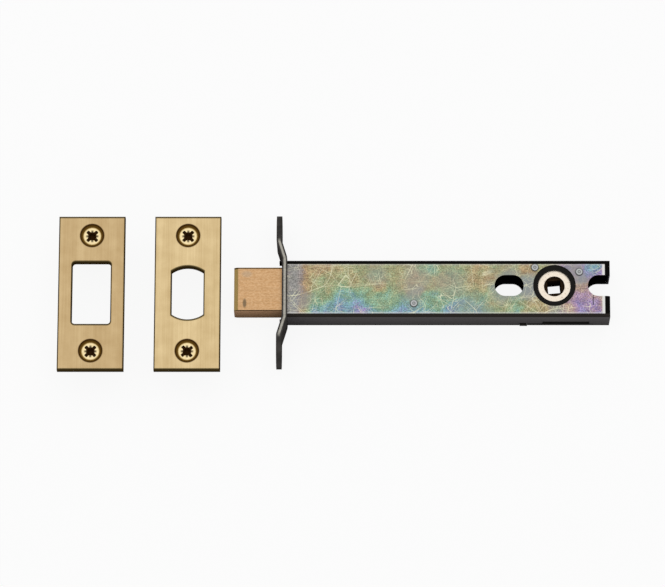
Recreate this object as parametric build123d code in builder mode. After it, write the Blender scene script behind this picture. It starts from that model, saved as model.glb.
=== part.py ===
from build123d import *
import os
from math import asin, atan2, cos, degrees, hypot, radians, sin

# Tubular bathroom deadbolt with its face plate, strike plate and screws. All sizes are in millimetres.
# The origin is on the bolt's axis, in the plane where the face plate seats on the inner forend's ears,
# halfway through the case. +X runs back along the case to the follower, +Y goes across the case and
# +Z points out of the case's front face. The bolt is thrown, so it stands out towards -X.

# Case: a channel folded from sheet steel, closed at the back by a flat cover between its walls
case_width = 22.0
case_depth = 13.0
sheet = 1.0
bend_radius = 1.2
fold_slit = 0.3  # open corner between an end flap and a side wall
cover_gap = 0.05
cover_tab_length = 2.8
cover_tab_lead = 11.5  # middle of the cover's tabs, ahead of the follower's axis
cover_tab_proud = 0.3
cover_notch = 3.4  # height of the walls' notches over the tabs

# Places along and across the case
backset = 105.0  # face plate seat to the follower's axis
rear_reach = 21.0  # follower's axis to the rear end
follower_rise = 1.05  # follower's axis above the middle of the case

# Passages for the furniture's through bolts, ahead of and behind the follower
passage_width = 8.2
front_passage_length = 11.0
front_passage_lead = 17.1  # middle of the front passage, ahead of the follower's axis
rear_passage_lag = 12.6  # round end of the open rear passage, behind the follower's axis
score_lag = 14.6  # scored line below the rear passage, behind the follower's axis
score_length = 3.5
score_width = 0.25
score_depth = 0.5

# Inner forend: a round-ended plate whose middle is cranked back to leave room for the staked tabs
forend_length = 59.6
forend_width = 16.0
forend_sheet = 2.0
crank_depth = 2.1
crank_margin = 0.4  # flat middle beyond the case wall
crank_run = 6.8  # height of each sloping part
crank_bend = 3.0
fixing_spacing = 45.0
fixing_hole = 4.2
stake_width = 3.5
stake_offset = 3.5  # middle of a staked tab off the middle of the case
stake_proud = 1.0
stake_gap = 0.05

# Bolt: a brass bar with a lead on its tip, forked at the back for the draw bar
throw = 13.0
bolt_width = 17.0
bolt_case_gap = 0.4  # bolt to the case's front face and cover
bolt_tail = 25.0  # back end behind the face plate seat, bolt thrown
bolt_lead_length = 1.5
bolt_lead_drop = 1.0
bolt_edge = 0.3
bolt_window_gap = 0.15
fork_depth = 14.0
fork_gap = 0.05
pin_diameter = 2.5
pin_gap = 0.02

# Draw bar: a flat bar with a long slot for its guide rivet and an eye for the follower's arm
bar_thickness = 3.0
bar_wall_gap = 0.3
bar_passage_gap = 0.45
bar_head_rise = 4.0
bar_head_fall = 7.5
bar_head_reach = 2.0  # full-height head behind the bolt's back end
bar_neck = 58.0  # where the bar narrows to pass below the follower
guide_x = 51.9
guide_rise = 0.6  # guide rivet above the bar's middle
guide_gap = 0.25
eye_bush_gap = 0.3
eye_collar_gap = 0.4
eye_gap = 0.6  # arm's nose to a cross wall, which takes up the arm's swing
eye_wall = 2.6
eye_lead = 1.3
cheek = 1.2
cheek_gap = 0.25
hub_gap = 0.35
tab_lag = 2.4  # front of the guide tab, behind the middle of the eye
tab_length = 2.5
tab_thickness = 2.5
tab_inset = 0.05  # tab above the eye's back face
tab_proud = 0.3
tab_gap = 0.2
tab_overrun = 2.0  # spare slot behind the drawn tab

# Follower: a turned hub with a square socket, two flats for the detent spring and one arm
spindle = 5.0
spindle_turn = 5.5  # degrees, socket against the case
follower_sink = 1.4  # face ring below the case's face
counterbore = 7.85
counterbore_depth = 1.0
hub_diameter = 11.0
collar_diameter = 14.0
arm_nose = 1.15  # radius
arm_wall_gap = 0.71
rear_boss_step = 0.05

# Follower bushes: flanged rings that snap into the case and the cover from the inside
bush_flange_step = 0.5  # flange beyond the ring
bush_fit = 0.05
bush_sink = 0.4
bush_flange_front = 1.5
bush_flange_rear = 1.15
bush_flange_gap = 0.45
bush_wall = 1.85
bush_lip = 1.05  # rear bush's lip inside its bore
running_fit = 0.05

# Rivets, and the leaf spring that bears on the follower's flats from under two of them
rivet_shank = 2.2
rivet_head = 2.6
rivet_head_height = 0.35
rivet_gap = 0.03
spring_front_angle = 136.3  # degrees, round the follower's axis
spring_front_gap = 0.56  # bush flange to the rivet's shank
spring_rear_angle = 29.37  # degrees
spring_rear_gap = 1.19
leaf_thickness = 0.4
leaf_width = 4.0
leaf_collar_gap = 0.35
leaf_gap = 0.03
leaf_overhang = 1.6
leaf_upturn = 1.2
leaf_bend = 0.5

# Plates and their screws, standing on the screws' points beside the bolt body
plate_width = 25.0
plate_length = 60.0
plate_thickness = 3.0
plate_edge = 0.35
plates_y = -2.6
face_plate_x = -33.4
strike_plate_x = -69.7
face_window_width = 12.0
face_window_length = 20.5
strike_window_width = 14.5
strike_window_length = 24.0
strike_window_corner = 1.2
screw_hole = 4.0
screw_length = 16.0
screw_head = 6.8
screw_head_sink = 1.1
screw_head_gap = 0.03
screw_core = 2.5
screw_point_length = 3.0
sink_angle = 90.0
recess_span = 5.2  # across opposite arms
recess_slot = 1.3
recess_square = 3.1  # between the arms
recess_depth = 0.6
pocket_square = 2.0  # deep middle of the recess
pocket_depth = 1.6

# Values worked out from the sizes above
half_width = case_width / 2
half_depth = case_depth / 2
inner_half_width = half_width - sheet
inner_half_depth = half_depth - sheet
bolt_depth = 2 * (inner_half_depth - bolt_case_gap)
case_start = crank_depth + forend_sheet
case_end = backset + rear_reach
rear_passage_length = case_end - backset - rear_passage_lag + passage_width
follower_axis = Axis((backset, follower_rise, 0), (0, 0, 1))
follower_top = half_depth - follower_sink
arm_reach = inner_half_width + follower_rise - arm_nose - arm_wall_gap
half_swing = degrees(asin(throw / 2 / arm_reach))
arm_angle = 270 - half_swing
bar_low = bar_wall_gap - inner_half_width
bar_high = follower_rise - passage_width / 2 - bar_passage_gap
eye_top = follower_rise - hub_diameter / 2 - hub_gap
eye_x = backset - throw / 2
eye_half_opening = arm_nose + eye_gap
eye_half_length = eye_half_opening + eye_wall
eye_half_depth = bar_thickness / 2 + cheek_gap + cheek
bar_level = bush_flange_rear + eye_bush_gap + eye_half_depth - inner_half_depth
tab_level = bar_level - eye_half_depth + tab_inset + tab_thickness / 2
tab_x = eye_x + tab_lag
guide_y = (bar_low + bar_high) / 2 + guide_rise
fork_front = bolt_tail - fork_depth
bolt_tip = -(throw + plate_thickness)
pin_place = (bolt_tail - fork_depth / 2, (bar_head_rise - bar_head_fall) / 2)
bush_flange_radius = inner_half_width - follower_rise - bush_flange_gap
bush_radius = bush_flange_radius - bush_flange_step
bush_bore = bush_radius - bush_wall
face_radius = bush_bore - running_fit
collar_top = inner_half_depth - bush_flange_front - running_fit
collar_low = bar_level + eye_half_depth + eye_collar_gap
leaf_level = collar_low - leaf_collar_gap - leaf_width / 2
spring_front_radius = bush_flange_radius + spring_front_gap + rivet_shank / 2
spring_rear_radius = bush_flange_radius + spring_rear_gap + rivet_shank / 2
front_x = spring_front_radius * cos(radians(spring_front_angle))
front_y = spring_front_radius * sin(radians(spring_front_angle))
rear_x = spring_rear_radius * cos(radians(spring_rear_angle))
rear_y = spring_rear_radius * sin(radians(spring_rear_angle))
rear_boss_top = bush_flange_rear - inner_half_depth + rear_boss_step
plate_face = screw_length + screw_head_sink - forend_width / 2
sink_diameter = screw_head + 2 * (screw_head_sink + screw_head_gap)
screw_rows = (plates_y + fixing_spacing / 2, plates_y - fixing_spacing / 2)

os.makedirs("parts", exist_ok=True)

# Openings that the front face and the cover share: both passages, the bush's seat and the rivet holes
rivet_places = {
    "guide_rivet": (guide_x, guide_y),
    "spring_rivet_front": (backset + front_x, follower_rise + front_y),
    "spring_rivet_rear": (backset + rear_x, follower_rise + rear_y),
}
with BuildSketch() as case_openings:
    with Locations((backset - front_passage_lead, follower_rise)):
        SlotOverall(front_passage_length, passage_width)
    with Locations((backset + rear_passage_lag + rear_passage_length / 2, follower_rise)):
        SlotOverall(rear_passage_length, passage_width)
    with Locations((backset, follower_rise)):
        Circle(bush_radius + bush_fit)
    with Locations(*rivet_places.values()):
        Circle(rivet_shank / 2 + rivet_gap)

# Case shell: front face, two side walls and two end flaps, with the forend's tabs at its front end
with BuildPart() as case_shell:
    with BuildSketch(Plane.YZ.offset(case_start)):
        Rectangle(case_width, case_depth)
    extrude(amount=case_end - case_start)
    front_outline = case_shell.faces().sort_by(Axis.Z)[-1].edges().sort_by(Axis.X)
    fillet(front_outline[1:], radius=bend_radius)
    with BuildSketch(Plane.XY.offset(-half_depth)):
        with Locations((case_start, 0)):
            Rectangle(
                case_end - sheet - case_start,
                2 * inner_half_width,
                align=(Align.MIN, Align.CENTER),
            )
    extrude(amount=case_depth - sheet, mode=Mode.SUBTRACT)
    # open corners of the folds at the rear end
    slit_middle = inner_half_width - fold_slit / 2
    with Locations((case_end, slit_middle, -half_depth), (case_end, -slit_middle, -half_depth)):
        Box(
            sheet,
            fold_slit,
            case_depth - bend_radius,
            align=(Align.MAX, Align.CENTER, Align.MIN),
            mode=Mode.SUBTRACT,
        )
    extrude(case_openings.sketch, amount=half_depth, both=True, mode=Mode.SUBTRACT)
    # line scored at the lower edge of the rear passage
    with Locations((backset + score_lag, follower_rise - passage_width / 2, half_depth)):
        Box(score_width, 2 * score_length, 2 * score_depth, mode=Mode.SUBTRACT)
    # slot in the lower wall for the draw bar's guide tab
    with Locations((tab_x - tab_gap, sheet / 2 - half_width, tab_level)):
        Box(
            throw + tab_length + tab_gap + tab_overrun,
            2 * sheet,
            tab_thickness + 2 * tab_gap,
            align=(Align.MIN, Align.CENTER, Align.CENTER),
            mode=Mode.SUBTRACT,
        )
    # notches in the walls' back edges for the cover's tabs
    with Locations((backset - cover_tab_lead, 0, -half_depth)):
        Box(
            cover_tab_length + 2 * cover_gap,
            2 * case_width,
            2 * cover_notch,
            mode=Mode.SUBTRACT,
        )
    # tabs that pass through the inner forend and are staked over
    stake_y = half_width - sheet / 2
    with Locations((case_start, stake_y, stake_offset), (case_start, -stake_y, -stake_offset)):
        Box(
            forend_sheet + stake_proud,
            sheet,
            stake_width,
            align=(Align.MAX, Align.CENTER, Align.CENTER),
        )

# Case cover: a flat plate let in flush between the walls, with a tab in each wall's notch
with BuildPart() as case_cover:
    with BuildSketch(Plane.XY.offset(-half_depth)):
        with Locations((case_start, 0)):
            Rectangle(
                case_end - sheet - cover_gap - case_start,
                2 * (inner_half_width - cover_gap),
                align=(Align.MIN, Align.CENTER),
            )
        with Locations((backset - cover_tab_lead, 0)):
            Rectangle(cover_tab_length, case_width + 2 * cover_tab_proud)
    extrude(amount=sheet)
    extrude(case_openings.sketch, amount=half_depth, both=True, mode=Mode.SUBTRACT)

# Inner forend: bent from one strip, then cut to a round-ended outline
crank_low = half_width + crank_margin
with BuildPart() as inner_forend:
    with BuildSketch(Plane.XY):
        with BuildLine():
            FilletPolyline(
                (0, forend_length / 2),
                (0, crank_low + crank_run),
                (crank_depth, crank_low),
                (crank_depth, -crank_low),
                (0, -crank_low - crank_run),
                (0, -forend_length / 2),
                radius=crank_bend,
            )
            offset(amount=forend_sheet, side=Side.LEFT)
        make_face()
    extrude(amount=forend_width / 2, both=True)
    with BuildSketch(Plane.YZ):
        SlotOverall(forend_length, forend_width)
    extrude(amount=case_start, mode=Mode.INTERSECT)
    with BuildSketch(Plane.YZ):
        Rectangle(bolt_width + 2 * bolt_window_gap, bolt_depth + 2 * bolt_window_gap)
        with GridLocations(fixing_spacing, 0, 2, 1):
            Circle(fixing_hole / 2)
        with Locations((stake_y, stake_offset), (-stake_y, -stake_offset)):
            Rectangle(sheet + 2 * stake_gap, stake_width + 2 * stake_gap)
    extrude(amount=case_start, mode=Mode.SUBTRACT)

# Bolt: its side view has the lead on the tip, and a fork is sawn into its back end
with BuildPart() as bolt:
    with BuildSketch(Plane.XZ):
        with BuildLine():
            Polyline(
                (bolt_tip, bolt_depth / 2 - bolt_lead_drop),
                (bolt_tip + bolt_lead_length, bolt_depth / 2),
                (bolt_tail, bolt_depth / 2),
                (bolt_tail, -bolt_depth / 2),
                (bolt_tip + bolt_lead_length, -bolt_depth / 2),
                (bolt_tip, bolt_lead_drop - bolt_depth / 2),
                close=True,
            )
        make_face()
    extrude(amount=bolt_width / 2, both=True)
    chamfer(bolt.edges().filter_by(Axis.X), length=bolt_edge)
    with Locations((bolt_tail, 0, bar_level)):
        Box(
            fork_depth,
            bolt_width,
            bar_thickness + 2 * fork_gap,
            align=(Align.MAX, Align.CENTER, Align.CENTER),
            mode=Mode.SUBTRACT,
        )
    with Locations(pin_place):
        Cylinder(pin_diameter / 2 + pin_gap, bolt_depth, mode=Mode.SUBTRACT)

# Draw bar: head in the bolt's fork, slotted bar, and the eye that the follower's arm works in
head_back = bolt_tail + bar_head_reach
with BuildPart() as draw_bar:
    with BuildSketch(Plane.XY.offset(bar_level)):
        with BuildLine():
            Polyline(
                (fork_front + fork_gap, -bar_head_fall),
                (fork_front + fork_gap, bar_head_rise),
                (head_back, bar_head_rise),
                (head_back + bar_head_rise - bar_high, bar_high),
                (bar_neck, bar_high),
                (bar_neck + bar_high - eye_top, eye_top),
                (eye_x, eye_top),
                (eye_x, bar_low),
                (head_back - bar_head_fall - bar_low, bar_low),
                (head_back, -bar_head_fall),
                close=True,
            )
        make_face()
        with Locations((guide_x - throw / 2, guide_y)):
            guide_slot = rivet_shank + 2 * guide_gap
            SlotOverall(throw + guide_slot, guide_slot, mode=Mode.SUBTRACT)
        with Locations(pin_place):
            Circle(pin_diameter / 2 + pin_gap, mode=Mode.SUBTRACT)
    extrude(amount=bar_thickness / 2, both=True)
    # block of the eye, and the guide tab below its rear wall
    with Locations((eye_x, bar_low, bar_level)):
        Box(
            2 * eye_half_length,
            eye_top - bar_low,
            2 * eye_half_depth,
            align=(Align.CENTER, Align.MIN, Align.CENTER),
        )
    with Locations((tab_x, -half_width - tab_proud, tab_level)):
        Box(
            tab_length,
            half_width + tab_proud + bar_low,
            tab_thickness,
            align=(Align.MIN, Align.MIN, Align.CENTER),
        )
    # opening of the eye, flared towards the follower so that the slanting arm clears its walls
    with BuildSketch(Plane.XY.offset(bar_level)):
        with BuildLine():
            Polyline(
                (eye_x - eye_half_opening, bar_low),
                (eye_x - eye_half_opening, eye_top - eye_lead),
                (eye_x - eye_half_opening - eye_lead, eye_top),
                (eye_x + eye_half_opening + eye_lead, eye_top),
                (eye_x + eye_half_opening, eye_top - eye_lead),
                (eye_x + eye_half_opening, bar_low),
                close=True,
            )
        make_face()
    extrude(amount=bar_thickness / 2 + cheek_gap, both=True, mode=Mode.SUBTRACT)

# Follower: a turned profile, then the arm, the flats and the square socket
leaf_angle = degrees(atan2(rear_y - front_y, rear_x - front_x))
leaf_run = hypot(rear_x - front_x, rear_y - front_y)
rivet_line_height = front_y * cos(radians(leaf_angle)) - front_x * sin(radians(leaf_angle))
leaf_top = rivet_line_height - rivet_shank / 2 - leaf_gap
flat_height = leaf_top - leaf_thickness - leaf_gap
with BuildPart() as follower:
    with BuildSketch(Plane((backset, follower_rise, 0), x_dir=(1, 0, 0), z_dir=(0, -1, 0))):
        with BuildLine():
            Polyline(
                (0, -follower_top),
                (face_radius, -follower_top),
                (face_radius, rear_boss_top),
                (hub_diameter / 2, rear_boss_top),
                (hub_diameter / 2, collar_low),
                (collar_diameter / 2, collar_low),
                (collar_diameter / 2, collar_top),
                (face_radius, collar_top),
                (face_radius, follower_top),
                (0, follower_top),
                close=True,
            )
        make_face()
    revolve(axis=follower_axis)
    # one flat meets the leaf spring with the bolt thrown, and the other with the bolt drawn
    for flat_angle in (leaf_angle, leaf_angle - 2 * half_swing):
        flat_plane = Plane(
            (backset, follower_rise, rear_boss_top),
            x_dir=(cos(radians(flat_angle)), sin(radians(flat_angle)), 0),
            z_dir=(0, 0, 1),
        )
        with BuildSketch(flat_plane):
            with Locations((0, flat_height)):
                Rectangle(hub_diameter, hub_diameter, align=(Align.CENTER, Align.MIN))
        extrude(amount=collar_low - rear_boss_top, mode=Mode.SUBTRACT)
    arm_plane = Plane(
        (backset, follower_rise, bar_level),
        x_dir=(cos(radians(arm_angle)), sin(radians(arm_angle)), 0),
        z_dir=(0, 0, 1),
    )
    with BuildSketch(arm_plane):
        with Locations((arm_reach / 2, 0)):
            SlotCenterToCenter(arm_reach, 2 * arm_nose)
    extrude(amount=bar_thickness / 2, both=True)
    for face_side in (1, -1):
        with Locations((backset, follower_rise, face_side * follower_top)):
            Cylinder(counterbore / 2, 2 * counterbore_depth, mode=Mode.SUBTRACT)
    with BuildSketch(Plane.XY):
        with Locations((backset, follower_rise)):
            Rectangle(spindle, spindle, rotation=spindle_turn)
    extrude(amount=follower_top, both=True, mode=Mode.SUBTRACT)

# Bushes: the front one is open, and the rear one has a lip that keeps the follower in
with BuildPart() as follower_bush_front:
    with BuildSketch(Plane.XY.offset(inner_half_depth - bush_flange_front)):
        with Locations((backset, follower_rise)):
            Circle(bush_flange_radius)
    extrude(amount=bush_flange_front)
    with BuildSketch(Plane.XY.offset(inner_half_depth)):
        with Locations((backset, follower_rise)):
            Circle(bush_radius)
    extrude(amount=sheet - bush_sink)
    with Locations((backset, follower_rise, half_depth)):
        Cylinder(bush_bore, case_depth, mode=Mode.SUBTRACT)

with BuildPart() as follower_bush_rear:
    with BuildSketch(Plane.XY.offset(-inner_half_depth)):
        with Locations((backset, follower_rise)):
            Circle(bush_flange_radius)
    extrude(amount=bush_flange_rear)
    with BuildSketch(Plane.XY.offset(-inner_half_depth)):
        with Locations((backset, follower_rise)):
            Circle(bush_radius)
    extrude(amount=bush_sink - sheet)
    with Locations((backset, follower_rise, -follower_top - running_fit)):
        Cylinder(
            bush_bore,
            case_depth,
            align=(Align.CENTER, Align.CENTER, Align.MIN),
            mode=Mode.SUBTRACT,
        )
    with Locations((backset, follower_rise, -half_depth)):
        Cylinder(bush_bore - bush_lip, case_depth, mode=Mode.SUBTRACT)

# Detent spring: a leaf laid under the two spring rivets, its ends turned up round them
leaf_plane = Plane(
    (backset, follower_rise, leaf_level - leaf_width / 2),
    x_dir=(cos(radians(leaf_angle)), sin(radians(leaf_angle)), 0),
    z_dir=(0, 0, 1),
)
leaf_front = front_x * cos(radians(leaf_angle)) + front_y * sin(radians(leaf_angle))
leaf_rear = leaf_front + leaf_run
with BuildPart() as detent_spring:
    with BuildSketch(leaf_plane):
        with BuildLine():
            FilletPolyline(
                (leaf_front - leaf_overhang, leaf_top + leaf_upturn),
                (leaf_front - leaf_overhang, leaf_top),
                (leaf_rear + leaf_overhang, leaf_top),
                (leaf_rear + leaf_overhang, leaf_top + leaf_upturn),
                radius=leaf_bend,
            )
            offset(amount=leaf_thickness, side=Side.RIGHT)
        make_face()
    extrude(amount=leaf_width)

# Pin that joins the bolt to the draw bar
with BuildPart() as bolt_pin:
    with Locations(pin_place):
        Cylinder(pin_diameter / 2, bolt_depth)

# Rivets through the case, headed on the front face and flush with the cover
for rivet_name, (rivet_x, rivet_y) in rivet_places.items():
    with BuildPart() as rivet:
        with BuildSketch(Plane.XY.offset(-half_depth)):
            with Locations((rivet_x, rivet_y)):
                Circle(rivet_shank / 2)
        extrude(amount=case_depth)
        with BuildSketch(Plane.XY.offset(half_depth)):
            with Locations((rivet_x, rivet_y)):
                Circle(rivet_head / 2)
        extrude(amount=rivet_head_height)
    rivet.part.label = rivet_name
    export_step(rivet.part, f"parts/{rivet_name}.step")


def countersunk_plate(outline, plate_x):
    """Plate cut to an outline, its face edges eased, with two countersunk screw holes."""
    with BuildPart() as plate:
        extrude(outline, amount=-plate_thickness)
        chamfer(plate.faces().sort_by(Axis.Z)[-1].edges(), length=plate_edge)
        with Locations(*((plate_x, row, plate_face) for row in screw_rows)):
            CounterSinkHole(
                radius=screw_hole / 2,
                counter_sink_radius=sink_diameter / 2,
                depth=plate_thickness,
                counter_sink_angle=sink_angle,
            )
    return plate.part


# Face plate: its window has arced ends, so that it can be cut with a round tool
with BuildSketch() as face_window:
    Circle(face_window_length / 2)
    Rectangle(face_window_width, face_window_length, mode=Mode.INTERSECT)
with BuildSketch(Plane((face_plate_x, plates_y, plate_face))) as face_outline:
    Rectangle(plate_width, plate_length)
    add(face_window.sketch_local, mode=Mode.SUBTRACT)
with BuildPart() as face_plate:
    add(countersunk_plate(face_outline.sketch, face_plate_x))

# Strike plate: its window is a rectangle that the thrown bolt enters
with BuildSketch(Plane((strike_plate_x, plates_y, plate_face))) as strike_outline:
    Rectangle(plate_width, plate_length)
    RectangleRounded(
        strike_window_width,
        strike_window_length,
        strike_window_corner,
        mode=Mode.SUBTRACT,
    )
with BuildPart() as strike_plate:
    add(countersunk_plate(strike_outline.sketch, strike_plate_x))

# Screws: countersunk heads with a stepped cross recess, and pointed cores that carry the thread
head_top = plate_face - screw_head_sink
# each screw's place, and how far its recess is turned, in degrees
screws = {
    "face_plate_screw_upper": (face_plate_x, screw_rows[0], 0.0),
    "face_plate_screw_lower": (face_plate_x, screw_rows[1], -4.0),
    "strike_screw_upper": (strike_plate_x, screw_rows[0], 0.0),
    "strike_screw_lower": (strike_plate_x, screw_rows[1], 0.0),
}
for screw_name, (screw_x, screw_y, recess_turn) in screws.items():
    screw_plane = Plane((screw_x, screw_y, head_top), x_dir=(1, 0, 0), z_dir=(0, -1, 0))
    with BuildPart() as screw:
        with BuildSketch(screw_plane):
            with BuildLine():
                Polyline(
                    (0, 0),
                    (screw_head / 2, 0),
                    (screw_core / 2, (screw_core - screw_head) / 2),
                    (screw_core / 2, screw_point_length - screw_length),
                    (0, -screw_length),
                    close=True,
                )
            make_face()
        revolve(axis=Axis((screw_x, screw_y, 0), (0, 0, 1)))
        with BuildSketch(Plane.XY.offset(head_top)):
            with Locations(Location((screw_x, screw_y), recess_turn)):
                Rectangle(recess_square, recess_square)
                Rectangle(recess_span, recess_slot, rotation=45)
                Rectangle(recess_slot, recess_span, rotation=45)
        extrude(amount=-recess_depth, mode=Mode.SUBTRACT)
        with BuildSketch(Plane.XY.offset(head_top)):
            with Locations(Location((screw_x, screw_y), recess_turn)):
                Rectangle(pocket_square, pocket_square)
        extrude(amount=-pocket_depth, mode=Mode.SUBTRACT)
    screw.part.label = screw_name
    export_step(screw.part, f"parts/{screw_name}.step")

case_shell.part.label = "case_shell"
export_step(case_shell.part, "parts/case_shell.step")
case_cover.part.label = "case_cover"
export_step(case_cover.part, "parts/case_cover.step")
inner_forend.part.label = "inner_forend"
export_step(inner_forend.part, "parts/inner_forend.step")
bolt.part.label = "bolt"
export_step(bolt.part, "parts/bolt.step")
draw_bar.part.label = "draw_bar"
export_step(draw_bar.part, "parts/draw_bar.step")
bolt_pin.part.label = "bolt_pin"
export_step(bolt_pin.part, "parts/bolt_pin.step")
follower.part.label = "follower"
export_step(follower.part, "parts/follower.step")
follower_bush_front.part.label = "follower_bush_front"
export_step(follower_bush_front.part, "parts/follower_bush_front.step")
follower_bush_rear.part.label = "follower_bush_rear"
export_step(follower_bush_rear.part, "parts/follower_bush_rear.step")
detent_spring.part.label = "detent_spring"
export_step(detent_spring.part, "parts/detent_spring.step")
face_plate.part.label = "face_plate"
export_step(face_plate.part, "parts/face_plate.step")
strike_plate.part.label = "strike_plate"
export_step(strike_plate.part, "parts/strike_plate.step")
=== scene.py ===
# %% [markdown]
# A tubular bathroom deadbolt lies on a white table with its face plate, its strike plate and their screws.
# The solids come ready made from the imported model, each already in its place, so this lesson only gives
# them their finishes, cuts the screws' threads and sets up the table, the light and the camera.
# Blender counts in metres. Sizes below are written in millimetres and turned into metres where they are used.

# %% Load the model
from math import cos, pi, radians, sin

import bpy
import numpy as np
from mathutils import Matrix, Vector


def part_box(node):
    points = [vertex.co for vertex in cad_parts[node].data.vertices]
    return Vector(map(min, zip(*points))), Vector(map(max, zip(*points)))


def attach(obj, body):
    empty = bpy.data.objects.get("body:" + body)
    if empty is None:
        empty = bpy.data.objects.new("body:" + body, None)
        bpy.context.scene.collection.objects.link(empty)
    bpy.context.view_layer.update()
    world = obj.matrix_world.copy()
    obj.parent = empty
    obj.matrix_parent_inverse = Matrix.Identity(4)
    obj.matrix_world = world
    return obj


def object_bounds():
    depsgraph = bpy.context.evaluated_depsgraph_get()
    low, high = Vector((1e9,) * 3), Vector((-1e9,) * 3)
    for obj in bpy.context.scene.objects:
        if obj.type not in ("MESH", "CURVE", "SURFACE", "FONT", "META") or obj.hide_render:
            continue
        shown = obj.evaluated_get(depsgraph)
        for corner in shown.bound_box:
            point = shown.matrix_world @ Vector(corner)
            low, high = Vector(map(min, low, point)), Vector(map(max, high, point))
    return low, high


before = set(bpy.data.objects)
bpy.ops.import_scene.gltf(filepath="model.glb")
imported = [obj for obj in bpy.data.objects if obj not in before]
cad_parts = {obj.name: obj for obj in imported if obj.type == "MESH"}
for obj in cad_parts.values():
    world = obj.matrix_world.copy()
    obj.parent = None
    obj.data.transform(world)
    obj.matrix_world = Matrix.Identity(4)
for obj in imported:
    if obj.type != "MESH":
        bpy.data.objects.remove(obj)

MM = 0.001
cad_low, cad_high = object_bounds()
print("nodes", len(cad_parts), "box in mm", [round(side_shade / MM, 1) for side_shade in cad_high - cad_low])

# %% [markdown]
# Every finish needs the same two helpers. One turns a colour as a painter writes it, sRGB hex, into the
# linear numbers that the renderer works with. The other adds one shader node, sets it up, links it and
# hands on what comes out of it, so that a finish reads as a list of steps.

# %% Helpers for finishes


def paint(hex_colour):
    """Linear RGBA of an sRGB hex colour: the power 2.4 curve, with its straight part near black."""
    channels = np.array([int(hex_colour[i : i + 2], 16) for i in (1, 3, 5)]) / 255
    linear = np.where(channels <= 0.04045, channels / 12.92, ((channels + 0.055) / 1.055) ** 2.4)
    return (*linear.tolist(), 1.0)


def put(finish, kind, sockets, out=0, **settings):
    """Adds a shader node and gives back one of its outputs. A socket takes a link or a fixed value."""
    node = finish.node_tree.nodes.new("ShaderNode" + kind)
    for name, value in settings.items():
        setattr(node, name, value)
    for name, value in sockets.items():
        if isinstance(value, bpy.types.NodeSocket):
            finish.node_tree.links.new(value, node.inputs[name])
        else:
            node.inputs[name].default_value = value
    return node.outputs[out]


# a Mix node for colours: its settings, and its two colour sockets
TINT = {"data_type": "RGBA", "out": 2}
TINT_A, TINT_B = 6, 7
print("bare zinc in linear light", [round(c, 3) for c in paint("#8B8986")])

# %% [markdown]
# Each finish starts in the same way: a material with one shader, and the surface's own coordinates in
# millimetres. Because a piece keeps its own coordinates when it moves, a pattern stays on it when the
# bolt slides or the follower turns. Each finish ends in the same way too: what was worked out is linked
# to the shader, and the pieces take the material. Several finishes darken round a screw or a rivet, so the
# distance from the nearest one's axis is worked out here once.

# %% Start and end of a finish


def new_finish(name, roughness):
    """Metal of that roughness, and its surface's own coordinates in mm."""
    finish = bpy.data.materials.new(name)
    finish.use_nodes = True
    shader = finish.node_tree.nodes["Principled BSDF"]
    shader.inputs["Metallic"].default_value = 1.0
    shader.inputs["Roughness"].default_value = roughness
    shader.inputs["Specular IOR Level"].default_value = 0.0  # only metal is glossy here, dark films are dull
    here = put(finish, "TexCoord", {}, out="Object")
    place = put(finish, "VectorMath", {0: here, "Scale": 1 / MM}, operation="SCALE")
    return finish, place


def dress(finish, links, *nodes):
    """Links sockets of the shader, and gives the finish to CAD nodes in place of what they came with."""
    shader = finish.node_tree.nodes["Principled BSDF"]
    for name, value in links.items():
        finish.node_tree.links.new(value, shader.inputs[name])
    for name in nodes:
        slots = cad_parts[name].data.materials
        slots.clear()
        slots.append(finish)
    print(finish.name, "on", ", ".join(nodes))


def middle_of(name):
    """Middle of a node's box, in mm."""
    low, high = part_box(name)
    return (low + high) / 2 / MM


def from_axes(finish, place, names):
    """Level distance from the nearest of the named nodes' upright axes, in mm."""
    level = put(finish, "VectorMath", {0: place, 1: (1, 1, 0)}, operation="MULTIPLY")
    nearest = 1000.0  # further than any of them
    for name in names:
        axis = (*middle_of(name).xy, 0)
        away = put(finish, "VectorMath", {0: level, 1: axis}, out="Value", operation="DISTANCE")
        nearest = put(finish, "Math", {0: away, 1: nearest}, operation="MINIMUM")
    return nearest


RIVETS = ["guide_rivet", "spring_rivet_front", "spring_rivet_rear"]
SCREWS = ["face_plate_screw_upper", "face_plate_screw_lower", "strike_screw_upper", "strike_screw_lower"]
FACE_SKIN = (0.03, 0.01)  # a flat face's mask starts and is full this far below the face, mm
print(len(RIVETS), "rivets,", len(SCREWS), "screws")

# %% [markdown]
# The case is folded from sheet steel, zinc plated and passivated. The passivate is a film so thin that
# it shows colours of interference, which follow one order as it thickens: bare grey, tan, gold, green,
# blue, violet, pink, tan again. It ran down before it dried, so it is thickest along the lower edge, and
# it never took at the front end. So a thickness is worked out from the place on the case, from the pools
# where the film gathered or stayed thin, and from noise. A colour ramp turns the thickness into film
# colours, and the edge of a pool then shows every colour between the two, as a real film does. The rear
# end hung deepest in the bath and has a thicker film of its own, which the wiping blurred into the rest.

# %% Colours of the passivate film
# thickness, from none to the thickest, and the colour it shows
FILM_ORDER = [
    (0.00, "#8B8986"),
    (0.12, "#8D827E"),
    (0.22, "#A58B6A"),
    (0.33, "#A19772"),
    (0.45, "#8D9B78"),
    (0.56, "#7E9F88"),
    (0.67, "#7597A5"),
    (0.78, "#8C7DAA"),
    (0.88, "#9F8596"),
    (1.00, "#AC9583"),
]
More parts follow.
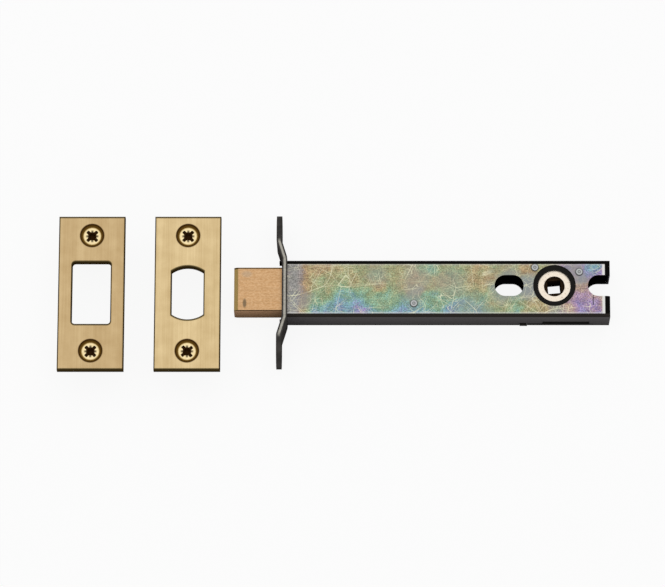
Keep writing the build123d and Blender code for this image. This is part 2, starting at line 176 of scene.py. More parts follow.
# middle of each pool along and across the case and its reach, in mm, then the film's thickness in it
FILM_POOLS = [
    (17, 8, 6, 0.23),
    (23, 3, 9, 0.35),
    (27, -6, 9, 0.68),
    (31, -10, 4, 0.75),
    (41, -4, 7, 0.51),
    (39, 1, 4, 0.30),
    (54, 2, 9, 0.29),
    (58, 9, 7, 0.50),
    (60, -6, 7, 0.56),
    (70, -9, 8, 0.64),
    (77, 5, 8, 0.28),
    (84, -8, 9, 0.38),
    (99, -8, 10, 0.29),
    (95, 9, 5, 0.20),
]
REAR_POOLS = [
    (109, -9, 6, 0.98),
    (116, 0, 4, 0.99),
    (108, 9, 6, 0.84),
    (119, 8, 7, 0.67),
]
POOL_CORE, POOL_FILL = 0.3, 0.9  # share of a pool's reach that is full, and how full it is there
POOL_WANDER, WANDER_SIZE = 12.0, 7.0  # how far noise pushes a pool's edge, and the noise's size, mm
BARE_END = (7.0, 14.0)  # where the film starts, along the case, mm
REAR_START = (102.0, 110.0)  # where the rear's own film starts, along the case, mm
RUN_DOWN = (-10.0, 1.0)  # where the film thickens, across the case, mm
FILM_SLOPE, REAR_SLOPE = (0.69, 0.39), (0.79, 0.94)  # thickness at either end of that
MOTTLES = [(5.0, 0.09), (0.6, 0.06)]  # size in mm, and how much they change the thickness
NOISE_LOW, NOISE_HIGH = 0.25, 0.75  # nearly all of a noise lies between these
GRAIN_LOW, GRAIN_HIGH = 0.36, 0.64  # most of it lies between these, for a stronger contrast


def film_colour(finish, place, x, y, pushed, slope, pools):
    """Thickness from 0 to 1 as a slope across the case, pools, a bare end and noises, then its colour."""
    run = {"Value": y, "From Min": RUN_DOWN[0], "From Max": RUN_DOWN[1]}
    thickness = put(finish, "MapRange", {**run, "To Min": slope[0], "To Max": slope[1]})
    level = put(finish, "VectorMath", {0: pushed, 1: (1, 1, 0)}, operation="MULTIPLY")
    for pool_x, pool_y, reach, depth in pools:
        middle = (pool_x, pool_y, 0)
        away = put(finish, "VectorMath", {0: level, 1: middle}, out="Value", operation="DISTANCE")
        edge = {"Value": away, "From Min": POOL_CORE * reach, "From Max": reach}
        edge = {**edge, "To Min": POOL_FILL, "To Max": 0.0}
        share = put(finish, "MapRange", edge, interpolation_type="SMOOTHSTEP")
        thickness = put(finish, "Mix", {0: share, 2: thickness, 3: depth})
    taken = put(finish, "MapRange", {"Value": x, "From Min": BARE_END[0], "From Max": BARE_END[1]})
    thickness = put(finish, "Math", {0: thickness, 1: taken}, operation="MULTIPLY")
    for size, swing in MOTTLES:
        noise = put(finish, "TexNoise", {"Vector": place, "Scale": 1 / size, "Detail": 4.0})
        uneven = {"Value": noise, "From Min": NOISE_LOW, "From Max": NOISE_HIGH}
        uneven = put(finish, "MapRange", {**uneven, "To Min": -swing, "To Max": swing})
        thickness = put(finish, "Math", {0: thickness, 1: uneven}, operation="ADD")
    colour = put(finish, "ValToRGB", {"Fac": thickness})
    ramp = colour.node.color_ramp
    ramp.elements.remove(ramp.elements[1])
    ramp.elements[0].color = paint(FILM_ORDER[0][1])
    for amount, tint in FILM_ORDER[1:]:
        ramp.elements.new(amount).color = paint(tint)
    return colour


print(len(FILM_ORDER), "film colours,", len(FILM_POOLS) + len(REAR_POOLS), "pools")

# %% [markdown]
# A film this soft is soon worn. It is rubbed back to grey zinc round the slot and the guide rivet, where
# tools touched it, and crossed by fine pale scratches: straight ones where it slid over other cases, and
# bent ones from loose swarf. The borders of large irregular cells are straight lines that meet, and a
# contour of a smooth noise is a long bent line, so these two draw the scratches.

# %% Wear of the film
# middle of each worn place along and across the case and its reach, in mm, then how far it is worn
WORN_PLACES = [
    (10, -5, 6, 0.60),
    (38, 6, 6, 0.35),
    (52, -3, 6, 0.55),
    (53, 3, 9, 0.40),
    (66, 2, 9, 0.35),
    (74, -9, 10, 0.45),
    (88, 1, 10, 0.70),
    (96, 1, 8, 0.85),
    (112, 6, 6, 0.65),
    (116, 4, 4, 0.75),
]
# spacing of straight scratches and half their width, in mm: real ones are finer, but would not show
STRAIGHT_SCRATCHES = [(14.0, 0.11), (9.0, 0.09), (4.0, 0.05)]
# size of the noise behind bent scratches, in mm, and half their width on the noise's own scale
BENT_SCRATCHES = [(16.0, 0.005), (9.0, 0.005), (6.0, 0.006)]
HANDLED_SIZE = 8.0  # size of the patches where scratches show, mm
HANDLED_EDGE = (0.42, 0.58)  # a patch's edge, on its noise's own scale
SCRATCH_SHARE = (0.15, 0.95)  # how strongly scratches show outside a patch and in it


def worn_film(finish, place, pushed, colour):
    """The film's colour with worn places mixed in as grey, and scratches as thin pale lines."""
    level = put(finish, "VectorMath", {0: pushed, 1: (1, 1, 0)}, operation="MULTIPLY")
    for worn_x, worn_y, reach, strength in WORN_PLACES:
        middle = (worn_x, worn_y, 0)
        away = put(finish, "VectorMath", {0: level, 1: middle}, out="Value", operation="DISTANCE")
        edge = {"Value": away, "From Min": POOL_CORE * reach, "From Max": reach}
        edge = {**edge, "To Min": strength, "To Max": 0.0}
        share = put(finish, "MapRange", edge, interpolation_type="SMOOTHSTEP")
        colour = put(finish, "Mix", {0: share, TINT_A: colour, TINT_B: paint("#888C8E")}, **TINT)
    lines = []
    for spacing, half_width in STRAIGHT_SCRATCHES:
        border = {"Vector": place, "Scale": 1 / spacing}
        border = put(finish, "TexVoronoi", border, feature="DISTANCE_TO_EDGE")
        lines.append((border, half_width / spacing))
    for size, half_width in BENT_SCRATCHES:
        smooth = put(finish, "TexNoise", {"Vector": place, "Scale": 1 / size, "Detail": 0.0})
        smooth = put(finish, "Math", {0: smooth, 1: 0.5}, operation="SUBTRACT")
        lines.append((put(finish, "Math", {0: smooth}, operation="ABSOLUTE"), half_width))
    # a scratch is seen only here and there
    handled = put(finish, "TexNoise", {"Vector": place, "Scale": 1 / HANDLED_SIZE, "Detail": 1.0})
    shown = {"Value": handled, "From Min": HANDLED_EDGE[0], "From Max": HANDLED_EDGE[1]}
    shown = put(finish, "MapRange", {**shown, "To Min": SCRATCH_SHARE[0], "To Max": SCRATCH_SHARE[1]})
    for away, reach in lines:
        line = put(finish, "MapRange", {"Value": away, "From Max": reach, "To Min": 1.0, "To Max": 0.0})
        line = put(finish, "Math", {0: line, 1: shown}, operation="MULTIPLY")
        colour = put(finish, "Mix", {0: line, TINT_A: colour, TINT_B: paint("#DEDCBC")}, **TINT)
    return colour


print(len(WORN_PLACES), "worn places,", len(STRAIGHT_SCRATCHES) + len(BENT_SCRATCHES), "nets of scratches")

# %% [markdown]
# The whole case takes the film, but it shows only on the flat faces. The folds and walls are painted dark as
# shade, which reaches a little way over the upper and rear folds. Just inside a fold, a pale line is a
# painted highlight. A ring of painted shade lies round each rivet's head, and more painted shade round the
# wall's slot.

# %% Passivated zinc for the case
GRAINS = [(0.5, 0.62, 1.34), (2.4, 0.84, 1.16)]  # size in mm, then how it darkens and lightens
RIVET_SHADE = (1.30, 1.75)  # painted shade round a rivet's head, from its axis, mm
SLOT_SHADE, SLOT_SHADE_TOP = (91.0, 120.0), -3.5  # painted shade round the slot in the lower wall, along and up, mm
CASE_BEND = 1.2  # outside radius of the folds, mm
FILM_SKIN = (0.012, 0.002)  # the film's mask starts and is full this far below a flat face, mm
WALL_SKIN = (0.5, 0.4)  # the walls' mask starts and is full this far inside the case, mm
WALL_EDGE = (1.5, 1.1)  # and it starts to fade and is gone this far below a flat face, mm
UPPER_SHADE, REAR_SHADE = 0.40, 0.75  # how far painted shade reaches over these folds, mm
LOWER_HIGHLIGHT, UPPER_HIGHLIGHT, REAR_HIGHLIGHT = 0.45, 0.40, 1.0  # width of the painted highlight inside each fold, mm
HIGHLIGHT_BLUR, SHADE_BLUR = 0.2, 0.1  # half widths of the soft edges of a painted highlight and of the painted shade, mm
MOUTH_BLUR = 2.0  # how the painted shade thins out at the ends of the slot, mm
case_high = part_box("case_shell")[1] / MM


def passivated_zinc():
    """Film colour on the flat faces, with wear and grain, and dull painted shade on the folds and walls."""
    finish, place = new_finish("passivated_zinc_on_folded_steel", 0.42)
    x, y, z = (put(finish, "SeparateXYZ", {0: place}, out=axis) for axis in "XYZ")
    push = {"Vector": place, "Scale": 1 / WANDER_SIZE, "Detail": 6.0, "Roughness": 0.65}
    push = put(finish, "TexNoise", push, out="Color")
    push = put(finish, "VectorMath", {0: push, 1: (0.5, 0.5, 0.5)}, operation="SUBTRACT")
    push = put(finish, "VectorMath", {0: push, "Scale": POOL_WANDER}, operation="SCALE")
    pushed = put(finish, "VectorMath", {0: place, 1: push}, operation="ADD")
    front = film_colour(finish, place, x, y, pushed, FILM_SLOPE, FILM_POOLS)
    rear = film_colour(finish, place, x, y, pushed, REAR_SLOPE, REAR_POOLS)
    along = put(finish, "SeparateXYZ", {0: pushed}, out="X")
    deep = put(finish, "MapRange", {"Value": along, "From Min": REAR_START[0], "From Max": REAR_START[1]})
    colour = put(finish, "Mix", {0: deep, TINT_A: front, TINT_B: rear}, **TINT)
    for size, dark, pale in GRAINS:
        grain = put(finish, "TexNoise", {"Vector": place, "Scale": 1 / size, "Detail": 2.0})
        grain = {"Value": grain, "From Min": GRAIN_LOW, "From Max": GRAIN_HIGH}
        grain = put(finish, "MapRange", {**grain, "To Min": dark, "To Max": pale})
        colour = put(finish, "VectorMath", {0: colour, "Scale": grain}, operation="SCALE")
    colour = worn_film(finish, place, pushed, colour)
    # painted highlight inside each fold: where it starts, and how strong it is
    upper_end = case_high.y - CASE_BEND - UPPER_SHADE
    lower_end = case_high.y - CASE_BEND
    rear_end = case_high.x - CASE_BEND - REAR_SHADE
    below = put(finish, "Math", {0: y, 1: -1.0}, operation="MULTIPLY")
    folds = [
        (y, upper_end - UPPER_HIGHLIGHT, 0.3),
        (below, lower_end - LOWER_HIGHLIGHT, 0.4),
        (x, rear_end - REAR_HIGHLIGHT, 1.0),
    ]
    for value, start, strength in folds:
        fold_highlight = {"Value": value, "From Min": start - HIGHLIGHT_BLUR, "From Max": start + HIGHLIGHT_BLUR}
        fold_highlight = put(finish, "MapRange", {**fold_highlight, "To Max": strength})
        colour = put(finish, "Mix", {0: fold_highlight, TINT_A: colour, TINT_B: paint("#D4D3D0")}, **TINT)
    # a ring of painted shade round each rivet's head
    rivet_shade = {"Value": from_axes(finish, place, RIVETS), "From Min": RIVET_SHADE[0], "From Max": RIVET_SHADE[1]}
    rivet_shade = put(finish, "MapRange", {**rivet_shade, "To Min": 0.9, "To Max": 0.0})
    colour = put(finish, "Mix", {0: rivet_shade, TINT_A: colour, TINT_B: paint("#1E1D1D")}, **TINT)
    # the flat faces' height is the mask of the film, cut back where the painted shade reaches over
    height = put(finish, "Math", {0: z}, operation="ABSOLUTE")
    film_share = {"Value": height, "From Min": case_high.z - FILM_SKIN[0], "From Max": case_high.z - FILM_SKIN[1]}
    film_share = put(finish, "MapRange", film_share)
    for value, end in ((y, upper_end), (x, rear_end)):
        clear = {"Value": value, "From Min": end - SHADE_BLUR, "From Max": end + SHADE_BLUR}
        clear = put(finish, "MapRange", {**clear, "To Min": 1.0, "To Max": 0.0})
        film_share = put(finish, "Math", {0: film_share, 1: clear}, operation="MULTIPLY")
    # walls: the outside of the case away from its folds, in painted shade that is lighter towards the top.
    # What is left is folds and the edges of holes
    across = put(finish, "Math", {0: y}, operation="ABSOLUTE")
    outside = 0.0
    for value, reach in ((across, case_high.y), (x, case_high.x)):
        near = {"Value": value, "From Min": reach - WALL_SKIN[0], "From Max": reach - WALL_SKIN[1]}
        near = put(finish, "MapRange", near)
        outside = put(finish, "Math", {0: near, 1: outside}, operation="MAXIMUM")
    flat = {"Value": height, "From Min": case_high.z - WALL_EDGE[0], "From Max": case_high.z - WALL_EDGE[1]}
    flat = put(finish, "MapRange", {**flat, "To Min": 1.0, "To Max": 0.0})
    flat = put(finish, "Math", {0: outside, 1: flat}, operation="MULTIPLY")
    raised = put(finish, "MapRange", {"Value": z, "From Min": -case_high.z, "From Max": case_high.z})
    wall_shade = put(finish, "Mix", {0: raised, TINT_A: paint("#4B4849"), TINT_B: paint("#615E5F")}, **TINT)
    # painted shade in the mouth of the wall's slot
    mouth = put(finish, "MapRange", {"Value": z, "From Min": SLOT_SHADE_TOP, "From Max": SLOT_SHADE_TOP - 1.0})
    front_end, rear_stop = SLOT_SHADE
    for start, stop in ((front_end, front_end + MOUTH_BLUR), (rear_stop, rear_stop - MOUTH_BLUR)):
        along = put(finish, "MapRange", {"Value": x, "From Min": start, "From Max": stop})
        mouth = put(finish, "Math", {0: mouth, 1: along}, operation="MULTIPLY")
    wall_shade = put(finish, "Mix", {0: mouth, TINT_A: wall_shade, TINT_B: paint("#151414")}, **TINT)
    # painted shade on the folds and the edges of holes, less dark on the outside of the lower fold
    lifted = put(finish, "MapRange", {"Value": y, "From Min": -lower_end - 0.3, "From Max": -lower_end})
    fold_shade = put(finish, "Mix", {0: lifted, TINT_A: paint("#332F2C"), TINT_B: paint("#121110")}, **TINT)
    painted_shade = put(finish, "Mix", {0: flat, TINT_A: fold_shade, TINT_B: wall_shade}, **TINT)
    colour = put(finish, "Mix", {0: film_share, TINT_A: painted_shade, TINT_B: colour}, **TINT)
    dress(finish, {"Base Color": colour, "Metallic": film_share}, "case_shell", "case_cover")


passivated_zinc()

# %% [markdown]
# The inner forend is blanked from thicker sheet and left a dull, nearly black zinc. A press shears a band
# of a blank's edge clean and tears the rest, so the long edges have one bright line. Painted shade ends it
# where the round ends start and turn away from the light. The plate is cranked, so the line can't be a plain
# stripe along X: the crank's own shift is taken away first.

# %% Dark zinc for the inner forend
FOREND_SHEET = 2.0  # mm
CRANK = (11.4, 18.2)  # where the crank leaves the middle and meets an ear, across the case, mm
SHEAR_BAND = (0.6, 1.5)  # bright part of the edge, from the front face, mm
SHEAR_BLUR = 0.15  # half width of the band's soft edges, mm
SHEAR_SKIN = (0.05, 0.01)  # the edge's mask starts and is full this far inside it, mm
EAR_SHADE_START, EAR_SHADE_FADE = 19.4, 1.5  # where painted shade ends the line, across the case, and how long it takes to, mm
forend_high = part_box("inner_forend")[1] / MM


def dark_zinc():
    """Sooty zinc with cloudy wear. The sheared line is a range of X once the crank's shift is taken off."""
    finish, place = new_finish("dark_zinc_on_blanked_steel", 0.42)
    x, y, z = (put(finish, "SeparateXYZ", {0: place}, out=axis) for axis in "XYZ")
    cloud = put(finish, "TexNoise", {"Vector": place, "Scale": 1 / 2.5, "Detail": 4.0})
    plain = put(finish, "Mix", {0: cloud, TINT_A: paint("#201F1E"), TINT_B: paint("#585552")}, **TINT)
    across = put(finish, "Math", {0: y}, operation="ABSOLUTE")
    shift = {"Value": across, "From Min": CRANK[0], "From Max": CRANK[1]}
    shift = put(finish, "MapRange", {**shift, "To Min": forend_high.x - FOREND_SHEET, "To Max": 0.0})
    depth = put(finish, "Math", {0: x, 1: shift}, operation="SUBTRACT")
    start, stop = SHEAR_BAND
    line = {"Value": depth, "From Min": start - SHEAR_BLUR, "From Max": start + SHEAR_BLUR}
    line = put(finish, "MapRange", line)
    # the band's far edge, and painted shade at the round ends
    ends = [(depth, stop - SHEAR_BLUR, stop + SHEAR_BLUR), (across, EAR_SHADE_START - EAR_SHADE_FADE, EAR_SHADE_START)]
    for value, full, gone in ends:
        fade = {"Value": value, "From Min": full, "From Max": gone, "To Min": 1.0, "To Max": 0.0}
        line = put(finish, "Math", {0: line, 1: put(finish, "MapRange", fade)}, operation="MULTIPLY")
    height = put(finish, "Math", {0: z}, operation="ABSOLUTE")
    start, full = (forend_high.z - below for below in SHEAR_SKIN)
    edge = put(finish, "MapRange", {"Value": height, "From Min": start, "From Max": full})
    line = put(finish, "Math", {0: line, 1: edge}, operation="MULTIPLY")
    torn = put(finish, "TexNoise", {"Vector": place, "Scale": 1 / 0.8, "Detail": 2.0})
    bright = put(finish, "Mix", {0: torn, TINT_A: paint("#77736A"), TINT_B: paint("#BBB8AE")}, **TINT)
    colour = put(finish, "Mix", {0: line, TINT_A: plain, TINT_B: bright}, **TINT)
    dress(finish, {"Base Color": colour, "Metallic": line}, "inner_forend")


dark_zinc()

# %% [markdown]
# The bolt is cut from drawn brass bar. Drawing leaves fine lines along it, and handling leaves soft clouds.
# Its flanks are painted brown as shade, darker towards the bottom, its long arrises darker still, and a band
# inside the far arris too.
# The ground lead at the tip stays olive, and two small stains lie near it.

# %% Drawn brass for the bolt
BOLT_LEAD = 1.5  # length of the ground lead at the tip, mm
BOLT_EDGE = 0.3  # chamfer of the long edges, mm
FAR_SHADE = 0.3  # painted shade inside the far arris, mm
DRAW_LINE = 0.35  # width of a drawing line, mm: real ones are finer, but would not show
DRAW_CLOUD = 0.45  # size of the clouds, mm
DRAW_BLUR = 0.1  # half width of soft edges, mm
# middle of each stain along and across the bolt, half width and half height in mm, strength, colour
STAINS = [(-12.0, -5.5, 0.8, 2.0, 0.85, "#6A5B47"), (-11.2, 5.9, 2.2, 1.4, 0.4, "#A89B88")]
bolt_low, bolt_high = (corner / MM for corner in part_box("bolt"))


def drawn_brass():
    """Peach brass with lines along X, an olive tip, painted shade on the flanks and arrises, and two small
    stains.
    """
    finish, place = new_finish("drawn_brass_bar", 0.4)
    x, y, z = (put(finish, "SeparateXYZ", {0: place}, out=axis) for axis in "XYZ")
    stretch = put(finish, "VectorMath", {0: place, 1: (0.04, 1.0, 1.0)}, operation="MULTIPLY")
    lines = put(finish, "TexNoise", {"Vector": stretch, "Scale": 1 / DRAW_LINE, "Detail": 2.0})
    drawn = put(finish, "VectorMath", {0: place, 1: (0.55, 1.0, 1.0)}, operation="MULTIPLY")
    cloudy = {"Vector": drawn, "Scale": 1 / DRAW_CLOUD, "Detail": 5.0, "Roughness": 0.6}
    clouds = put(finish, "TexNoise", cloudy)
    tone = put(finish, "MapRange", {"Value": clouds, "From Min": GRAIN_LOW, "From Max": GRAIN_HIGH})
    colour = put(finish, "Mix", {0: tone, TINT_A: paint("#B68D61"), TINT_B: paint("#CCA77E")}, **TINT)
    lined = {"Value": lines, "From Min": 0.3, "From Max": 0.7, "To Min": 0.93, "To Max": 1.07}
    lined = put(finish, "MapRange", lined)
    colour = put(finish, "VectorMath", {0: colour, "Scale": lined}, operation="SCALE")
    for stain_x, stain_y, half_width, half_height, strength, tint in STAINS:
        off = put(finish, "VectorMath", {0: place, 1: (stain_x, stain_y, 0)}, operation="SUBTRACT")
        squash = (1 / half_width, 1 / half_height, 0)
        off = put(finish, "VectorMath", {0: off, 1: squash}, operation="MULTIPLY")
        away = put(finish, "VectorMath", {0: off}, out="Value", operation="LENGTH")
        edge = {"Value": away, "From Min": 0.5, "From Max": 1.2, "To Min": strength, "To Max": 0.0}
        share = put(finish, "MapRange", edge, interpolation_type="SMOOTHSTEP")
        colour = put(finish, "Mix", {0: share, TINT_A: colour, TINT_B: paint(tint)}, **TINT)
    lead_end = bolt_low.x + BOLT_LEAD
    tip = {"Value": x, "From Min": lead_end - DRAW_BLUR, "From Max": lead_end + DRAW_BLUR}
    tip = put(finish, "MapRange", {**tip, "To Min": 1.0, "To Max": 0.0})
    colour = put(finish, "Mix", {0: tip, TINT_A: colour, TINT_B: paint("#BC9F62")}, **TINT)
    # painted shade on the arrises and flanks, darker towards the bottom
    across = put(finish, "Math", {0: y}, operation="ABSOLUTE")
    raised = put(finish, "MapRange", {"Value": z, "From Min": bolt_low.z, "From Max": bolt_high.z})
    flank_shade = put(finish, "Mix", {0: raised, TINT_A: paint("#7E624B"), TINT_B: paint("#C79D79")}, **TINT)
    flat = {"Value": across, "From Min": bolt_high.y - 0.08, "From Max": bolt_high.y - 0.03}
    flat = put(finish, "MapRange", flat)
    side_shade = put(finish, "Mix", {0: flat, TINT_A: paint("#2E2014"), TINT_B: flank_shade}, **TINT)
    face_end = bolt_high.y - BOLT_EDGE
    on_face = {"Value": across, "From Min": face_end - 0.05, "From Max": face_end + 0.02}
    on_face = put(finish, "MapRange", {**on_face, "To Min": 1.0, "To Max": 0.0})
    shade = face_end - FAR_SHADE
    shaded = {"Value": y, "From Min": shade - DRAW_BLUR, "From Max": shade + DRAW_BLUR}
    shaded = put(finish, "MapRange", {**shaded, "To Max": 0.8})
    colour = put(finish, "Mix", {0: shaded, TINT_A: colour, TINT_B: paint("#4A3A22")}, **TINT)
    colour = put(finish, "Mix", {0: on_face, TINT_A: side_shade, TINT_B: colour}, **TINT)
    # the lead at the tip is matt, and so are the flanks
    metal = put(finish, "Math", {0: on_face, 1: tip}, operation="SUBTRACT", use_clamp=True)
    dress(finish, {"Base Color": colour, "Metallic": metal}, "bolt")


drawn_brass()

# %% [markdown]
# The two plates are solid brass, brushed lengthways by a belt and lacquered over an antique tint. The cut
# edges and the windows' walls are painted nearly black, for that tint and for their shade, the countersinks
# are brown tint with painted shade, and a thin line of painted shade lies along each arris. Only the face
# shows the pale satin. So the face's height is one mask, the way in from the outline and the window gives the
# line, and the brushing is noise drawn out sixty times along the plate.

# %% Satin brass for the plates
BRUSH_WIDTH = 0.5  # mm: real belt marks are finer, but would not show
BRUSH_STRETCH = 1 / 60
BRUSH_BAND, BRUSH_CLOUD = 6.0, 5.0  # size of broad bands and of clouds, mm
PLATE_EDGE = 0.35  # chamfer of the arrises, mm
ARRIS_SHADE = 0.22  # line of painted shade inside the chamfer, mm
END_SHADE = 0.25  # the line is this much wider at the ends of the plate and of its window, mm
SINK_RADIUS, HEAD_RADIUS = 4.53, 3.4  # countersink's brim and screw's head, mm
BRIM_TINT_AND_SHADE = 0.3  # how far the tint and painted shade spread over the brim, mm
FACE_WINDOW = (6.0, 10.25 + END_SHADE)  # half width and end radius, mm
STRIKE_CORNER = 1.2  # mm
# middle of a corner's round, mm
STRIKE_WINDOW = (7.25 - STRIKE_CORNER, 12.0 + END_SHADE - STRIKE_CORNER, 0)


def satin_brass(plate, dark_tone, pale_tone, round_window):
    """Brushed satin face, edges dark with antique tint and painted shade, countersinks brown with tint and
    painted shade, and a line of painted shade along the arrises, for the plate of that name.

    A window is a rectangle with round corners, or a circle cut off by two straight sides. The way from the
    first is the distance past a corner's middle, less the corner's radius, and from the second it is the
    larger of the ways past the circle and past the sides."""
    finish, place = new_finish("belt_brushed_antique_brass_" + plate, 0.38)
    z = put(finish, "SeparateXYZ", {0: place}, out="Z")
    plate_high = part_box(plate)[1] / MM
    half = plate_high - middle_of(plate)
    stretch = put(finish, "VectorMath", {0: place, 1: (1.0, BRUSH_STRETCH, 1.0)}, operation="MULTIPLY")
    fine = {"Vector": stretch, "Scale": 1 / BRUSH_WIDTH, "Detail": 3.0, "Roughness": 0.6}
    fine = put(finish, "TexNoise", fine)
    broad = put(finish, "TexNoise", {"Vector": stretch, "Scale": 1 / BRUSH_BAND, "Detail": 1.0})
    clouds = put(finish, "TexNoise", {"Vector": place, "Scale": 1 / BRUSH_CLOUD, "Detail": 4.0})
    both = put(finish, "Math", {0: fine, 1: broad}, operation="ADD")
    both = put(finish, "Math", {0: both, 1: clouds}, operation="ADD")
    tone = put(finish, "MapRange", {"Value": both, "From Min": 1.1, "From Max": 1.9})
    face = put(finish, "Mix", {0: tone, TINT_A: paint(dark_tone), TINT_B: paint(pale_tone)}, **TINT)
    # how far each point is from the outline and from the window
    centred = put(finish, "VectorMath", {0: place, 1: middle_of(plate)}, operation="SUBTRACT")
    folded = put(finish, "VectorMath", {0: centred}, operation="ABSOLUTE")
    beside, along = (put(finish, "SeparateXYZ", {0: folded}, out=axis) for axis in "XY")
    to_side = put(finish, "Math", {0: half.x, 1: beside}, operation="SUBTRACT")
    to_end = put(finish, "Math", {0: half.y - END_SHADE, 1: along}, operation="SUBTRACT")
    to_arris = put(finish, "Math", {0: to_side, 1: to_end}, operation="MINIMUM")
    level = put(finish, "VectorMath", {0: folded, 1: (1, 1, 0)}, operation="MULTIPLY")
    if round_window:
        half_width, reach = FACE_WINDOW
        outward = put(finish, "VectorMath", {0: level}, out="Value", operation="LENGTH")
        past_side = put(finish, "Math", {0: beside, 1: half_width}, operation="SUBTRACT")
        past_end = put(finish, "Math", {0: outward, 1: reach}, operation="SUBTRACT")
        to_window = put(finish, "Math", {0: past_side, 1: past_end}, operation="MAXIMUM")
    else:
        past = put(finish, "VectorMath", {0: level, 1: STRIKE_WINDOW}, operation="SUBTRACT")
        past = put(finish, "VectorMath", {0: past, 1: (0, 0, 0)}, operation="MAXIMUM")
        outward = put(finish, "VectorMath", {0: past}, out="Value", operation="LENGTH")
        to_window = put(finish, "Math", {0: outward, 1: STRIKE_CORNER}, operation="SUBTRACT")
    to_arris = put(finish, "Math", {0: to_arris, 1: to_window}, operation="MINIMUM")
    # a line of painted shade inside each arris, wider at the ends
    line = {"Value": to_arris, "From Min": PLATE_EDGE, "From Max": PLATE_EDGE + ARRIS_SHADE}
    line = put(finish, "MapRange", {**line, "To Min": 0.9, "To Max": 0.0})
    face = put(finish, "Mix", {0: line, TINT_A: face, TINT_B: paint("#4A4024")}, **TINT)
    # countersinks: tint and painted shade, darker at the brim than near the screw, spreading a little over
    # the brim
    away = from_axes(finish, place, SCREWS)
    depth = put(finish, "MapRange", {"Value": away, "From Min": HEAD_RADIUS, "From Max": SINK_RADIUS - 0.2})
    sink = put(finish, "Mix", {0: depth, TINT_A: paint("#886528"), TINT_B: paint("#42280A")}, **TINT)
    brim = {"Value": away, "From Min": SINK_RADIUS, "From Max": SINK_RADIUS + BRIM_TINT_AND_SHADE}
    brim = put(finish, "MapRange", {**brim, "To Min": 0.9, "To Max": 0.0})
    face = put(finish, "Mix", {0: brim, TINT_A: face, TINT_B: paint("#553A14")}, **TINT)
    in_sink = {"Value": away, "From Min": SINK_RADIUS, "From Max": SINK_RADIUS + 0.1}
    in_sink = put(finish, "MapRange", {**in_sink, "To Min": 1.0, "To Max": 0.0})
    # cut edges and windows' walls: nearly black, antique tint and painted shade
    edge = put(finish, "Mix", {0: in_sink, TINT_A: paint("#3D3018"), TINT_B: sink}, **TINT)
    on_face = {"Value": z, "From Min": plate_high.z - FACE_SKIN[0], "From Max": plate_high.z - FACE_SKIN[1]}
    on_face = put(finish, "MapRange", on_face)
    colour = put(finish, "Mix", {0: on_face, TINT_A: edge, TINT_B: face}, **TINT)
    dress(finish, {"Base Color": colour, "Metallic": on_face}, plate)


satin_brass("strike_plate", "#B2976C", "#C6AD82", False)
satin_brass("face_plate", "#BDA477", "#D4BD90", True)

# %% [markdown]
# The screws are brass wood screws. Their heads were turned and polished, so they are pale gold, with painted
# shade a little way in from the rim and over the stamped recess and just beyond it. Four short marks are
# stamped between the arms of the recess, and they are painted dark as shade. The four screws stand at the
# corners of a rectangle, so folding it twice brings them onto one, and the marks need drawing only once.

# %% Polished brass for the screws
RIM_SHADE = 0.45  # how far the rim's tone reaches in, mm
MARK_REACH = (1.5, 2.6)  # stamped marks, from the screw's axis, mm
MARK_HALF = 0.55  # half a mark's width, mm
MARK_BLUR, MARK_FADE = 0.25, 0.6  # soft edge of a mark or an arm, and a mark's soft outer end, mm
RECESS_SHADE_BLUR = 0.2  # soft edge of the painted shade over the recess, mm
RECESS_SHADE_MIDDLE, RECESS_SHADE_REACH = 1.8, 2.85  # round middle and arms of that painted shade, from the screw's axis, mm
RECESS_SHADE_ARM = 0.75  # half an arm's width, taken along the plate, mm
RECESS_REACH, RECESS_DEPTH = 2.75, 1.65  # of the stamped recess, mm
RECESS_SHADE_FULL = 0.9  # how far the painted shade hides the brass
head_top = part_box(SCREWS[0])[1].z / MM


